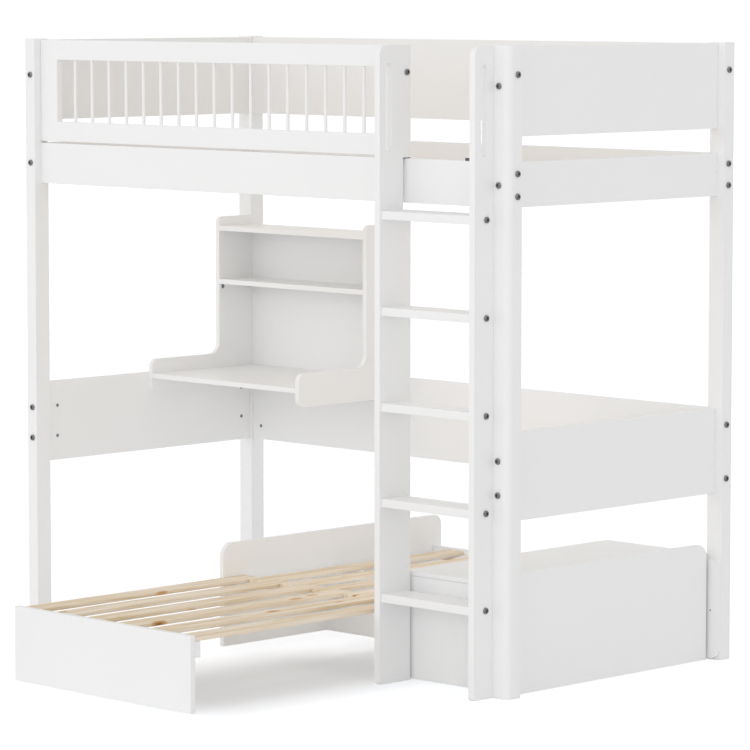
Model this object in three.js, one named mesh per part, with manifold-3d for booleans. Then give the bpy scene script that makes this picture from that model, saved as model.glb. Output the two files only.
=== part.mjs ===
// High sleeper bed with a desk under it, a ladder, a storage box and a pull-out sofa base.
// Millimetres, +Z up. +X points to the ladder end of the bed and -Y to the room.
// Sizes are worked out about the middle of the posts' footprint. The whole model is then moved
// along Y, so that its origin lies under the middle of its box with the sofa base pulled out.

import * as THREE from "three";
import { mergeVertices } from "three/addons/utils/BufferGeometryUtils.js";
import Module from "manifold-3d";

const wasm = await Module();
wasm.setup();

// Gaps between pieces
const SEAT_GAP = 0.3;
const STOP_GAP = 1;

// Bed frame
const BED_LENGTH = 2100;
const BED_DEPTH = 995;
const POST_SIDE = 56;
const POST_CORNER_RADIUS = 22;
const POST_HEIGHT = 1848;
const LOWER_POST_HEIGHT = 1184;
const POST_ABOVE_GUARD = 3;
const BOARD_THICKNESS = 21;
const BOARD_INSET = 26.5;
const GUARD_HEIGHT = 252.5;
const VENT_HEIGHT = 72.5;
const RAIL_HEIGHT = 127.5;
const LOWER_BOARD_LIFT = 503;
const LOWER_BOARD_HEIGHT = 254;

// Front guard
const FRONT_GUARD_GAP = 6;
const GUARD_FRAME_BOTTOM = 62;
const GUARD_FRAME_TOP = 62.5;
const GUARD_FRAME_SIDE = 80;
const SPINDLE_DIAMETER = 11;
const SPINDLE_PITCH = 80;
const SPINDLE_TENON = 12;

// Slatted base of the upper bed
const LEDGER_WIDTH = 20;
const LEDGER_HEIGHT = 30;
const LEDGER_LIFT = 7.5;
const BED_SLAT_COUNT = 14;
const BED_SLAT_WIDTH = 68;
const BED_SLAT_THICKNESS = 12;
const BED_SLAT_END_GAP = 2;
const BED_SLAT_MARGIN = 60;

// Ladder
const LADDER_WIDTH = 395;
const LADDER_GUARD_GAP = 1;
const STILE_THICKNESS = 21;
const STILE_DEPTH = 126.5;
const STILE_BEHIND_BOARD = 1;
const STILE_BELOW_POST = 2;
const STILE_CORNER_RADIUS = 27;
const STILE_FOOT_RADIUS = 10;
const NOTCH_FRONT_GAP = 9.5;
const NOTCH_TOP_GAP = 2.5;
const HANDLE_WIDTH = 25;
const HANDLE_LENGTH = 258;
const HANDLE_SETBACK = 24.5;
const HANDLE_BELOW_TOP = 50;
const RUNG_COUNT = 5;
const RUNG_THICKNESS = 24.5;
const RUNG_SETBACK = 7;
const FIRST_RUNG_HEIGHT = 253.5;
const RUNG_BELOW_RAIL = 20;

// Desk
const DESK_PANEL_THICKNESS = 16;
const DESK_TOP_THICKNESS = 16;
const DESK_SHELF_THICKNESS = 16;
const DESK_BACK_THICKNESS = 8;
const DESK_WIDTH = 672.5;
const DESK_DEPTH = 461.5;
const DESK_TOP_BELOW_BOARD_TOP = 3.3;
const DESK_TOP_SETBACK = 1;
const DESK_SKIRT_BELOW = 44.7;
const DESK_ARM_ABOVE = 46.3;
const HUTCH_DEPTH = 160.5;
const HUTCH_HEADROOM = 138.5;
const HUTCH_ABOVE_SHELF = 30;
const HUTCH_SHELF_SPACE = 160.5;
const SHELF_SETBACK = 0;
const ARM_CORNER_RADIUS = 28;
const HUTCH_CORNER_RADIUS = 20;
const HUTCH_NECK_RADIUS = 38;

// Storage box under the ladder
const BOX_WIDTH = 402;
const BOX_HEIGHT = 319;
const BOX_REAR_GAP = 4.5;
const BOX_PANEL_THICKNESS = 16;
const BOX_WALL_LIFT = 4;
const BOX_LID_THICKNESS = 14;
const BOX_FLOOR_THICKNESS = 12;
const BOX_FLOOR_LIFT = 20;
const END_PANEL_HEIGHT = 350;
const END_PANEL_GAP = 8;
const END_PANEL_RADIUS = 40;
const FILLER_THICKNESS = 11.5;
const FILLER_HEIGHT = 300;
const FILLER_LIFT = 4;
const FILLER_RADIUS = 32;

// Long hinge at the rear edge of the box's lid
const HINGE_MARGIN = 13;
const HINGE_LEAF_THICKNESS = 1.5;
const HINGE_LEAF_EDGE = 1;
const HINGE_AXIS_OFFSET = 3;
const HINGE_AXIS_CLEARANCE = 3.5;
const KNUCKLE_COUNT = 7;
const KNUCKLE_RADIUS = 2.7;
const KNUCKLE_GAP = 0.6;
const KNUCKLE_TAB_OVERLAP = 1;

// Sofa base
const SOFA_WIDTH = 777;
const SOFA_PANEL_THICKNESS = 16;
const SOFA_PANEL_HEIGHT = 316.5;
const SOFA_PANEL_DEPTH = 960;
const SOFA_PANEL_SETBACK = 56;
const SOFA_PANEL_FRONT_RADIUS = 39;
const SOFA_PANEL_REAR_RADIUS = 30;
const SEAT_BOARD_HEIGHT = 219;
const BACK_BOARD_THICKNESS = 16;
const BACK_BOARD_SETBACK = 23;
const MID_BOARD_THICKNESS = 16;
const MID_BOARD_SETBACK = 478;
const SLAT_THICKNESS = 12;
const SLAT_BELOW_EDGE = 5;
const FIXED_SLAT_WIDTH = 61;
const FIXED_SLAT_SETBACK = 34;
const MOVING_SLAT_COUNT = 6;
const MOVING_SLAT_WIDTH = 71;
const MOVING_SLAT_REST = 45.5;
const FASCIA_WIDTH = 756;
const FASCIA_THICKNESS = 18;
const FASCIA_GAP = 2;
const CLEAT_THICKNESS = 20;
const CLEAT_HEIGHT = 46;
const FRONT_BAR_SETBACK = 2;
const FRONT_BAR_DEPTH = 28;
const FRONT_BAR_HEIGHT = 30;
const PULL_OUT = 827.5;

// Steps round a quarter circle and sides on a round bar
const ARC_STEPS = 6;
const ROUND_SIDES = 12;

// Places of the frame's faces
const postOuterX = BED_LENGTH / 2;
const postInnerX = postOuterX - POST_SIDE;
const postOuterY = BED_DEPTH / 2;
const postInnerY = postOuterY - POST_SIDE;
const boardOuterX = postOuterX - BOARD_INSET;
const boardInnerX = boardOuterX - BOARD_THICKNESS;
const boardOuterY = postOuterY - BOARD_INSET;
const boardInnerY = boardOuterY - BOARD_THICKNESS;

// Heights of the frame's boards
const guardTop = POST_HEIGHT - POST_ABOVE_GUARD;
const guardBottom = guardTop - GUARD_HEIGHT;
const railTop = guardBottom - VENT_HEIGHT;
const railBottom = railTop - RAIL_HEIGHT;
const lowerBoardTop = LOWER_BOARD_LIFT + LOWER_BOARD_HEIGHT;

// Places on the ladder
const ladderRight = postInnerX;
const ladderLeft = ladderRight - LADDER_WIDTH;
const stileRear = -(boardInnerY - STILE_BEHIND_BOARD);
const stileFront = stileRear - STILE_DEPTH;
const stileTop = POST_HEIGHT - STILE_BELOW_POST;
const lastRungHeight = railBottom - RUNG_BELOW_RAIL - RUNG_THICKNESS / 2;

// Places on the desk
const deskLeft = -boardInnerX;
const deskInnerLeft = deskLeft + DESK_PANEL_THICKNESS;
const deskInnerRight = deskInnerLeft + DESK_WIDTH;
const deskFront = boardInnerY - DESK_DEPTH;
const deskTop = lowerBoardTop - DESK_TOP_BELOW_BOARD_TOP;
const deskTopBottom = deskTop - DESK_TOP_THICKNESS;
const deskBackFront = boardInnerY - DESK_BACK_THICKNESS;
const hutchFront = boardInnerY - HUTCH_DEPTH;
const hutchTop = railBottom - HUTCH_HEADROOM;
const topShelfTop = hutchTop - HUTCH_ABOVE_SHELF;
const middleShelfTop = topShelfTop - DESK_SHELF_THICKNESS - HUTCH_SHELF_SPACE;

// Places on the storage box
const boxLeft = postInnerX - BOX_WIDTH;
const boxInnerLeft = boxLeft + BOX_PANEL_THICKNESS;
const boxFront = -postInnerY;
const boxInnerFront = boxFront + BOX_PANEL_THICKNESS;
const boxRear = boardInnerY - BOX_REAR_GAP;
const boxInnerRear = boxRear - BOX_PANEL_THICKNESS;
const boxWallTop = BOX_HEIGHT - BOX_LID_THICKNESS - SEAT_GAP;

// Places on the sofa base
const sofaLeft = boxLeft - SOFA_WIDTH;
const sofaFront = -postOuterY + SOFA_PANEL_SETBACK;
const sofaRear = sofaFront + SOFA_PANEL_DEPTH;
const backBoardRear = sofaRear - BACK_BOARD_SETBACK;
const backBoardFront = backBoardRear - BACK_BOARD_THICKNESS;
const slatTop = SEAT_BOARD_HEIGHT - SLAT_BELOW_EDGE;
const slatBottom = slatTop - SLAT_THICKNESS;
const restTop = slatBottom - SEAT_GAP;
const fixedSlatFront = sofaFront + FIXED_SLAT_SETBACK;
const frontBarFront = fixedSlatFront + FRONT_BAR_SETBACK;
const frontBarRear = frontBarFront + FRONT_BAR_DEPTH;
const fasciaLeft = sofaLeft + FASCIA_GAP;
const fasciaRight = fasciaLeft + FASCIA_WIDTH;
const fasciaBackPushedIn = frontBarFront - STOP_GAP - CLEAT_THICKNESS;
const fasciaBack = fasciaBackPushedIn - PULL_OUT;
const fasciaFront = fasciaBack - FASCIA_THICKNESS;
const movingSlatPitch = (FASCIA_WIDTH - MOVING_SLAT_WIDTH) / (MOVING_SLAT_COUNT - 1);

// Finishes
const lacquer = () =>
  new THREE.MeshStandardMaterial({ color: 0xf1f0ed, roughness: 0.45, metalness: 0 });
const pine = () => new THREE.MeshStandardMaterial({ color: 0xdcc6a2, roughness: 0.62, metalness: 0 });
const steel = () => new THREE.MeshStandardMaterial({ color: 0xb9babc, roughness: 0.35, metalness: 1 });

function piece(name, geometry, finish) {
  const mesh = new THREE.Mesh(geometry, finish());
  mesh.name = name;
  return mesh;
}

// A plain board between two limits on each axis.
function board(name, [x0, x1], [y0, y1], [z0, z1], finish = lacquer) {
  const mesh = piece(name, new THREE.BoxGeometry(x1 - x0, y1 - y0, z1 - z0), finish);
  mesh.position.set((x0 + x1) / 2, (y0 + y1) / 2, (z0 + z1) / 2);
  return mesh;
}

// An outline whose edges meet square. Each corner is [x, y] or [x, y, radius], anticlockwise.
function squareOutline(corners) {
  const shape = new THREE.Shape();
  corners.forEach(([x, y, radius = 0], index) => {
    const before = new THREE.Vector2(...corners.at(index - 1).slice(0, 2));
    const after = new THREE.Vector2(...corners[(index + 1) % corners.length].slice(0, 2));
    const corner = new THREE.Vector2(x, y);
    const incoming = corner.clone().sub(before).normalize();
    const outgoing = after.sub(corner).normalize();
    const start = corner.clone().addScaledVector(incoming, -radius);
    if (index === 0) shape.moveTo(start.x, start.y);
    else shape.lineTo(start.x, start.y);
    if (radius > 0) {
      const centre = start.clone().addScaledVector(outgoing, radius);
      const turn = Math.sign(incoming.cross(outgoing));
      const from = Math.atan2(start.y - centre.y, start.x - centre.x);
      shape.absarc(centre.x, centre.y, radius, from, from + (turn * Math.PI) / 2, turn < 0);
    }
  });
  shape.closePath();
  return shape;
}

function extruded(outline, depth) {
  return new THREE.ExtrudeGeometry(outline, {
    depth,
    bevelEnabled: false,
    curveSegments: ARC_STEPS,
  });
}

const axisX = new THREE.Vector3(1, 0, 0);
const axisY = new THREE.Vector3(0, 1, 0);
const axisZ = new THREE.Vector3(0, 0, 1);

// A plate whose outline is drawn in (Y, Z) and which is thick along X.
function plateAcrossX(name, outline, [x0, x1]) {
  const geometry = extruded(outline, x1 - x0);
  geometry.applyMatrix4(new THREE.Matrix4().makeBasis(axisY, axisZ, axisX));
  const mesh = piece(name, geometry, lacquer);
  mesh.position.x = x0;
  return mesh;
}

// A plate whose outline is drawn in (X, Z) and which is thick along Y.
function plateAcrossY(outline, [y0, y1]) {
  const geometry = extruded(outline, y1 - y0);
  const towardsRoom = axisY.clone().negate();
  geometry.applyMatrix4(new THREE.Matrix4().makeBasis(axisX, axisZ, towardsRoom));
  geometry.translate(0, y1, 0);
  return geometry;
}

function solidFrom(geometry) {
  const bare = geometry.clone();
  bare.deleteAttribute("normal");
  bare.deleteAttribute("uv");
  const merged = mergeVertices(bare);
  return new wasm.Manifold(
    new wasm.Mesh({
      numProp: 3,
      vertProperties: new Float32Array(merged.attributes.position.array),
      triVerts: new Uint32Array(merged.index.array),
    })
  );
}

function geometryFrom(solid) {
  const { vertProperties, triVerts } = solid.getMesh();
  const geometry = new THREE.BufferGeometry();
  geometry.setAttribute("position", new THREE.BufferAttribute(vertProperties, 3));
  geometry.setIndex(new THREE.BufferAttribute(triVerts, 1));
  geometry.computeVertexNormals();
  return geometry;
}

function joined(geometries) {
  const solids = geometries.map(solidFrom);
  return geometryFrom(solids.reduce((whole, solid) => whole.add(solid)));
}

function blockGeometry([x0, x1], [y0, y1], [z0, z1]) {
  const geometry = new THREE.BoxGeometry(x1 - x0, y1 - y0, z1 - z0);
  geometry.translate((x0 + x1) / 2, (y0 + y1) / 2, (z0 + z1) / 2);
  return geometry;
}

// The four corner posts, each in a lower and an upper length that meet end to end.
function posts() {
  const half = POST_SIDE / 2;
  const section = [[-half, -half], [half, -half], [half, half, POST_CORNER_RADIUS], [-half, half]];
  const lengths = [["lower", 0, LOWER_POST_HEIGHT], ["upper", LOWER_POST_HEIGHT, POST_HEIGHT]];
  const corners = [
    ["front_left", -1, -1],
    ["front_right", 1, -1],
    ["rear_left", -1, 1],
    ["rear_right", 1, 1],
  ];
  return corners.flatMap(([corner, sideX, sideY]) => {
    const placed = section.map(([x, y, radius]) => [sideX * x, sideY * y, radius]);
    const outline = squareOutline(sideX * sideY > 0 ? placed : placed.reverse());
    return lengths.map(([part, bottom, top]) => {
      const mesh = piece(`post_${corner}_${part}`, extruded(outline, top - bottom), lacquer);
      mesh.position.set(sideX * (postOuterX - half), sideY * (postOuterY - half), bottom);
      return mesh;
    });
  });
}

// Boards between the posts: rails all round, solid guards and lower boards on three sides.
function frameBoards() {
  const along = [-postInnerX, postInnerX];
  const across = [-postInnerY, postInnerY];
  const sides = {
    front: [along, [-boardOuterY, -boardInnerY]],
    rear: [along, [boardInnerY, boardOuterY]],
    left: [[-boardOuterX, -boardInnerX], across],
    right: [[boardInnerX, boardOuterX], across],
  };
  const closedSides = ["rear", "left", "right"];
  const rails = Object.keys(sides).map((side) =>
    board(`rail_${side}`, ...sides[side], [railBottom, railTop])
  );
  const guards = closedSides.map((side) =>
    board(`guard_${side}`, ...sides[side], [guardBottom, guardTop])
  );
  const lowerBoards = closedSides.map((side) =>
    board(`lower_board_${side}`, ...sides[side], [LOWER_BOARD_LIFT, lowerBoardTop])
  );
  return [...rails, ...guards, ...lowerBoards];
}

// Framed guard on the room side, with round spindles let into its top and bottom members.
function frontGuard() {
  const left = -postInnerX;
  const right = ladderLeft - LADDER_GUARD_GAP;
  const bottom = railTop + FRONT_GUARD_GAP;
  const openLeft = left + GUARD_FRAME_SIDE;
  const openRight = right - GUARD_FRAME_SIDE;
  const openBottom = bottom + GUARD_FRAME_BOTTOM;
  const openTop = guardTop - GUARD_FRAME_TOP;
  const outline = squareOutline([[left, bottom], [right, bottom], [right, guardTop], [left, guardTop]]);
  outline.holes.push(
    squareOutline([
      [openLeft, openTop],
      [openRight, openTop],
      [openRight, openBottom],
      [openLeft, openBottom],
    ])
  );
  const frame = plateAcrossY(outline, [-boardOuterY, -boardInnerY]);
  const length = openTop - openBottom + 2 * SPINDLE_TENON;
  const middleX = (openLeft + openRight) / 2;
  const count = Math.floor((openRight - openLeft) / SPINDLE_PITCH);
  const spindles = Array.from({ length: count }, (_, index) => {
    const radius = SPINDLE_DIAMETER / 2;
    const spindle = new THREE.CylinderGeometry(radius, radius, length, ROUND_SIDES);
    spindle.rotateX(Math.PI / 2);
    const offset = (index - (count - 1) / 2) * SPINDLE_PITCH;
    const middleY = -(boardOuterY + boardInnerY) / 2;
    spindle.translate(middleX + offset, middleY, (openTop + openBottom) / 2);
    return spindle;
  });
  return piece("front_guard", joined([frame, ...spindles]), lacquer);
}

// Ledgers on the inner faces of the front and rear rails, with the bed's slats across them.
function bedSlatBase() {
  const ledgerBottom = railBottom + LEDGER_LIFT;
  const ledgerTop = ledgerBottom + LEDGER_HEIGHT;
  const along = [-postInnerX, postInnerX];
  const ledgers = [
    blockGeometry(along, [-boardInnerY, -boardInnerY + LEDGER_WIDTH], [ledgerBottom, ledgerTop]),
    blockGeometry(along, [boardInnerY - LEDGER_WIDTH, boardInnerY], [ledgerBottom, ledgerTop]),
  ];
  const reach = boardInnerY - BED_SLAT_END_GAP;
  const first = -postInnerX + BED_SLAT_MARGIN;
  const pitch = (2 * -first - BED_SLAT_WIDTH) / (BED_SLAT_COUNT - 1);
  const slats = Array.from({ length: BED_SLAT_COUNT }, (_, index) => {
    const left = first + index * pitch;
    const heights = [ledgerTop, ledgerTop + BED_SLAT_THICKNESS];
    return blockGeometry([left, left + BED_SLAT_WIDTH], [-reach, reach], heights);
  });
  return piece("bed_slat_base", joined([...ledgers, ...slats]), pine);
}

// A ladder side seen from its face, notched over the front rail, with a slot as a handle.
function stileOutline() {
  const notchFront = -boardOuterY - NOTCH_FRONT_GAP;
  const notchTop = railTop + NOTCH_TOP_GAP;
  const outline = squareOutline([
    [stileFront, 0, STILE_FOOT_RADIUS],
    [stileRear, 0],
    [stileRear, lastRungHeight],
    [notchFront, lastRungHeight],
    [notchFront, notchTop],
    [stileRear, notchTop],
    [stileRear, stileTop],
    [stileFront, stileTop, STILE_CORNER_RADIUS],
  ]);
  const radius = HANDLE_WIDTH / 2;
  const middle = stileFront + HANDLE_SETBACK + radius;
  const slotTop = stileTop - HANDLE_BELOW_TOP;
  const slot = new THREE.Path();
  slot.absarc(middle, slotTop - radius, radius, 0, Math.PI, false);
  slot.absarc(middle, slotTop - HANDLE_LENGTH + radius, radius, Math.PI, 2 * Math.PI, false);
  slot.closePath();
  outline.holes.push(slot);
  return outline;
}

function ladder() {
  const innerLeft = ladderLeft + STILE_THICKNESS;
  const innerRight = ladderRight - STILE_THICKNESS;
  const rungRise = (lastRungHeight - FIRST_RUNG_HEIGHT) / (RUNG_COUNT - 1);
  const rungDepth = [stileFront + RUNG_SETBACK, -boardOuterY];
  const rungs = Array.from({ length: RUNG_COUNT }, (_, index) => {
    const middle = FIRST_RUNG_HEIGHT + index * rungRise;
    const heights = [middle - RUNG_THICKNESS / 2, middle + RUNG_THICKNESS / 2];
    return board(`ladder_rung_${index + 1}`, [innerLeft, innerRight], rungDepth, heights);
  });
  return [
    plateAcrossX("ladder_stile_left", stileOutline(), [ladderLeft, innerLeft]),
    plateAcrossX("ladder_stile_right", stileOutline(), [innerRight, ladderRight]),
    ...rungs,
  ];
}

// A desk side: a low arm beside the desktop, stepping up to a shallow upper part at the rear.
function deskSide(name, rear, limits) {
  const bottom = deskTopBottom - DESK_SKIRT_BELOW;
  const armTop = deskTop + DESK_ARM_ABOVE;
  const outline = squareOutline([
    [deskFront, bottom, ARM_CORNER_RADIUS],
    [rear, bottom],
    [rear, hutchTop],
    [hutchFront, hutchTop, HUTCH_CORNER_RADIUS],
    [hutchFront, armTop, HUTCH_NECK_RADIUS],
    [deskFront, armTop, ARM_CORNER_RADIUS],
  ]);
  return plateAcrossX(name, outline, limits);
}

function desk() {
  const between = [deskInnerLeft, deskInnerRight];
  const shelfDepth = [hutchFront + SHELF_SETBACK, deskBackFront];
  return [
    deskSide("desk_side_left", postInnerY, [deskLeft, deskInnerLeft]),
    deskSide("desk_side_right", boardInnerY, [
      deskInnerRight,
      deskInnerRight + DESK_PANEL_THICKNESS,
    ]),
    board("desk_top", between, [deskFront + DESK_TOP_SETBACK, boardInnerY], [deskTopBottom, deskTop]),
    board("desk_back", between, [deskBackFront, boardInnerY], [deskTop, topShelfTop]),
    board("desk_shelf_upper", between, shelfDepth, [topShelfTop - DESK_SHELF_THICKNESS, topShelfTop]),
    board("desk_shelf_lower", between, shelfDepth, [
      middleShelfTop - DESK_SHELF_THICKNESS,
      middleShelfTop,
    ]),
  ];
}

// The panel at the foot of the bed's right end and the rounded filler at the rear post.
function endPanels() {
  const fillerFront = postInnerY - FILLER_THICKNESS;
  const endPanelRear = fillerFront - END_PANEL_GAP;
  const endOutline = squareOutline([
    [boxFront, 0],
    [endPanelRear, 0],
    [endPanelRear, END_PANEL_HEIGHT, END_PANEL_RADIUS],
    [boxFront, END_PANEL_HEIGHT],
  ]);
  const fillerTop = FILLER_LIFT + FILLER_HEIGHT;
  const fillerOutline = squareOutline([
    [postInnerX, FILLER_LIFT],
    [postOuterX, FILLER_LIFT, FILLER_RADIUS],
    [postOuterX, fillerTop, FILLER_RADIUS],
    [postInnerX, fillerTop],
  ]);
  const fillerGeometry = plateAcrossY(fillerOutline, [fillerFront, postInnerY]);
  return [
    plateAcrossX("box_end_panel", endOutline, [postInnerX, postInnerX + BOX_PANEL_THICKNESS]),
    piece("box_filler_plate", fillerGeometry, lacquer),
  ];
}

// A leaf of the lid's hinge: a strip above (1) or below (-1) the axis, with every other knuckle.
function hingeLeaf(name, side, firstKnuckle) {
  const left = boxInnerLeft + HINGE_MARGIN;
  const right = postInnerX - HINGE_MARGIN;
  const axisHeight = boxWallTop + SEAT_GAP / 2;
  const reach = BOX_LID_THICKNESS - HINGE_LEAF_EDGE;
  const thickness = [boxRear, boxRear + HINGE_LEAF_THICKNESS];
  const heights = (from, to) => [axisHeight + side * from, axisHeight + side * to].sort((a, b) => a - b);
  const shapes = [blockGeometry([left, right], thickness, heights(HINGE_AXIS_CLEARANCE, reach))];
  const pitch = (right - left) / KNUCKLE_COUNT;
  for (let index = firstKnuckle; index < KNUCKLE_COUNT; index += 2) {
    const start = left + index * pitch + KNUCKLE_GAP / 2;
    const end = start + pitch - KNUCKLE_GAP;
    const tabReach = HINGE_AXIS_CLEARANCE + KNUCKLE_TAB_OVERLAP;
    const knuckle = new THREE.CylinderGeometry(KNUCKLE_RADIUS, KNUCKLE_RADIUS, end - start, ROUND_SIDES);
    knuckle.rotateZ(Math.PI / 2);
    knuckle.translate((start + end) / 2, boxRear + HINGE_AXIS_OFFSET, axisHeight);
    shapes.push(knuckle, blockGeometry([start, end], thickness, heights(0, tabReach)));
  }
  return piece(name, joined(shapes), steel);
}

function storageBox() {
  const inside = [boxInnerLeft, postInnerX];
  const full = [boxLeft, postInnerX];
  const walls = [BOX_WALL_LIFT, boxWallTop];
  return [
    board("box_front", full, [boxFront, boxInnerFront], walls),
    board("box_side", [boxLeft, boxInnerLeft], [boxInnerFront, backBoardRear], walls),
    board("box_back", inside, [boxInnerRear, boxRear], walls),
    board("box_floor", inside, [boxInnerFront, boxInnerRear], [
      BOX_FLOOR_LIFT,
      BOX_FLOOR_LIFT + BOX_FLOOR_THICKNESS,
    ]),
    board("box_lid", [boxLeft, postInnerX - SEAT_GAP], [boxFront, boxRear], [
      boxWallTop + SEAT_GAP,
      BOX_HEIGHT,
    ]),
    hingeLeaf("box_hinge_fixed_leaf", -1, 0),
    hingeLeaf("box_hinge_lid_leaf", 1, 1),
    ...endPanels(),
  ];
}

// What stands still of the sofa base: side, back and middle boards, supports and fixed slats.
function sofaBase() {
  const between = [sofaLeft, boxLeft];
  const cleatHeights = [restTop - CLEAT_HEIGHT, restTop];
  const midBoardRear = backBoardFront - MID_BOARD_SETBACK + MID_BOARD_THICKNESS;
  const sideOutline = squareOutline([
    [sofaFront, 0],
    [sofaRear, 0],
    [sofaRear, SOFA_PANEL_HEIGHT, SOFA_PANEL_REAR_RADIUS],
    [sofaFront, SOFA_PANEL_HEIGHT, SOFA_PANEL_FRONT_RADIUS],
  ]);
  const slats = Array.from({ length: MOVING_SLAT_COUNT - 1 }, (_, index) => {
    const middle = fasciaLeft + MOVING_SLAT_WIDTH / 2 + (index + 0.5) * movingSlatPitch;
    const width = [middle - FIXED_SLAT_WIDTH / 2, middle + FIXED_SLAT_WIDTH / 2];
    const length = [fixedSlatFront, backBoardFront];
    return board(`sofa_fixed_slat_${index + 1}`, width, length, [slatBottom, slatTop], pine);
  });
  return [
    plateAcrossX("sofa_side", sideOutline, [sofaLeft - SOFA_PANEL_THICKNESS, sofaLeft]),
    board("sofa_back_board", between, [backBoardFront, backBoardRear], [0, SEAT_BOARD_HEIGHT]),
    board("sofa_mid_board", between, [midBoardRear - MID_BOARD_THICKNESS, midBoardRear], [0, restTop]),
    board("sofa_front_bar", between, [frontBarFront, frontBarRear], [
      restTop - FRONT_BAR_HEIGHT,
      restTop,
    ]),
    board("sofa_rear_cleat", between, [backBoardFront - CLEAT_THICKNESS, backBoardFront], cleatHeights),
    ...slats,
  ];
}

// What slides: the front board, the cleat behind it and the slats that it draws out.
function sofaPullOut() {
  const across = [fasciaLeft, fasciaRight];
  const cleatHeights = [restTop - CLEAT_HEIGHT, restTop];
  const slatRear = frontBarFront + MOVING_SLAT_REST;
  const slats = Array.from({ length: MOVING_SLAT_COUNT }, (_, index) => {
    const left = fasciaLeft + index * movingSlatPitch;
    const width = [left, left + MOVING_SLAT_WIDTH];
    const heights = [slatBottom, slatTop];
    return board(`sofa_sliding_slat_${index + 1}`, width, [fasciaBack, slatRear], heights, pine);
  });
  return [
    board("sofa_fascia", across, [fasciaFront, fasciaBack], [0, SEAT_BOARD_HEIGHT]),
    board("sofa_fascia_cleat", across, [fasciaBack, fasciaBack + CLEAT_THICKNESS], cleatHeights),
    ...slats,
  ];
}

const highSleeper = new THREE.Group();
highSleeper.add(
  ...posts(),
  ...frameBoards(),
  frontGuard(),
  bedSlatBase(),
  ...ladder(),
  ...desk(),
  ...storageBox(),
  ...sofaBase(),
  ...sofaPullOut()
);
highSleeper.position.y = -(fasciaFront + sofaRear) / 2;

export default highSleeper;
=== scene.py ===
"""Looks of a white high sleeper bed with desk, ladder, storage box and pull-out sofa base."""

import logging
import math
from dataclasses import dataclass, field
from enum import Enum
from typing import Iterable, Optional

import bmesh
import bpy
from mathutils import Matrix, Vector


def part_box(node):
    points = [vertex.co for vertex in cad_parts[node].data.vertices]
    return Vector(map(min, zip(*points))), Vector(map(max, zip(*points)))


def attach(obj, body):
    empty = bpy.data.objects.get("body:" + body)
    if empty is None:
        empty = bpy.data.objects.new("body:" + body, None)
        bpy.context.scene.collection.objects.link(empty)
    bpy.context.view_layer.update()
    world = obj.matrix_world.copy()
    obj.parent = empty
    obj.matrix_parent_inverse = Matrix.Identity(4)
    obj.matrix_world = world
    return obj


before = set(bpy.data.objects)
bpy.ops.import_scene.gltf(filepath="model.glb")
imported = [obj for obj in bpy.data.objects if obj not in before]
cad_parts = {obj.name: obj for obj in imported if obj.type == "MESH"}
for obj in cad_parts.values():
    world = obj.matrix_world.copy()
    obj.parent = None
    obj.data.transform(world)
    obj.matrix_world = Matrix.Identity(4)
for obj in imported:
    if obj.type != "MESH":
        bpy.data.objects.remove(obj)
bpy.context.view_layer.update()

log = logging.getLogger("high_sleeper")

MM = 0.001
BED = "bed"
PULL_OUT = "sofa_pull_out"
LID = "box_lid"

VECTOR_MATH = "ShaderNodeVectorMath"
HALF = (0.5, 0.5, 0.5)

# Points nearer than this are one, and the bevel's weight keeps large faces flat
WELD_REACH = 0.02 * MM
BEVEL_SEGMENTS = 3
FLAT_FACES_WIN = 100
# An edge is sharp above this angle, and follows a run above this cosine between the two
SHARP_FROM = math.radians(40)
FOLLOWS_RUN = 0.99
# Edges in this zone lie on the floor
FLOOR_ZONE = (Vector((-5.0, -5.0, -1.0 * MM)), Vector((5.0, 5.0, 1.0 * MM)))

WITHOUT_SOCKET = 99
HEX_SECTOR = math.pi / 3
SUN_DISTANCE = 10.0


class Axis(Enum):
    """An axis of the bed, for the run of wood grain and the way a face looks."""

    X = Vector((1.0, 0.0, 0.0))
    Y = Vector((0.0, 1.0, 0.0))
    Z = Vector((0.0, 0.0, 1.0))


BOARD_RUNS = {"front": Axis.X, "rear": Axis.X, "left": Axis.Y, "right": Axis.Y}


def linear(hex_colour: str) -> tuple[float, float, float, float]:
    """Turn an sRGB hex colour into linear RGBA.

    Args:
        hex_colour: six hex digits, with or without a leading hash.

    Returns:
        Linear red, green, blue and an alpha of 1.
    """
    digits = hex_colour.lstrip("#")
    channels = [int(digits[place : place + 2], 16) / 255 for place in (0, 2, 4)]
    red, green, blue = (
        c / 12.92 if c <= 0.04045 else ((c + 0.055) / 1.055) ** 2.4 for c in channels
    )
    return (red, green, blue, 1.0)


def add_node(
    tree: bpy.types.NodeTree,
    kind: str,
    settings: Optional[dict] = None,
    links: Optional[dict] = None,
) -> bpy.types.Node:
    """Add a node with its settings and incoming links.

    Args:
        tree: the node tree that the node goes into.
        kind: the node's type name.
        settings: property names or input names, with the values they get.
        links: input names, with the output sockets that feed them.

    Returns:
        The new node.
    """
    node = tree.nodes.new(kind)
    for name, value in (settings or {}).items():
        if isinstance(name, str) and hasattr(node, name):
            setattr(node, name, value)
        else:
            node.inputs[name].default_value = value
    for name, socket in (links or {}).items():
        tree.links.new(socket, node.inputs[name])
    return node


def colour_ramp(
    tree: bpy.types.NodeTree, factor: bpy.types.NodeSocket, stops: list[tuple[float, str]]
) -> bpy.types.NodeSocket:
    """Map a value to sRGB hex colours.

    Args:
        tree: the node tree.
        factor: the value's socket.
        stops: places from 0 to 1 with their colours, in rising order.

    Returns:
        The colour's socket.
    """
    ramp = add_node(tree, "ShaderNodeValToRGB", links={"Fac": factor})
    elements = ramp.color_ramp.elements
    while len(elements) < len(stops):
        elements.new(1.0)
    for element, (place, colour) in zip(elements, stops):
        element.position = place
        element.color = linear(colour)
    return ramp.outputs["Color"]


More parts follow.
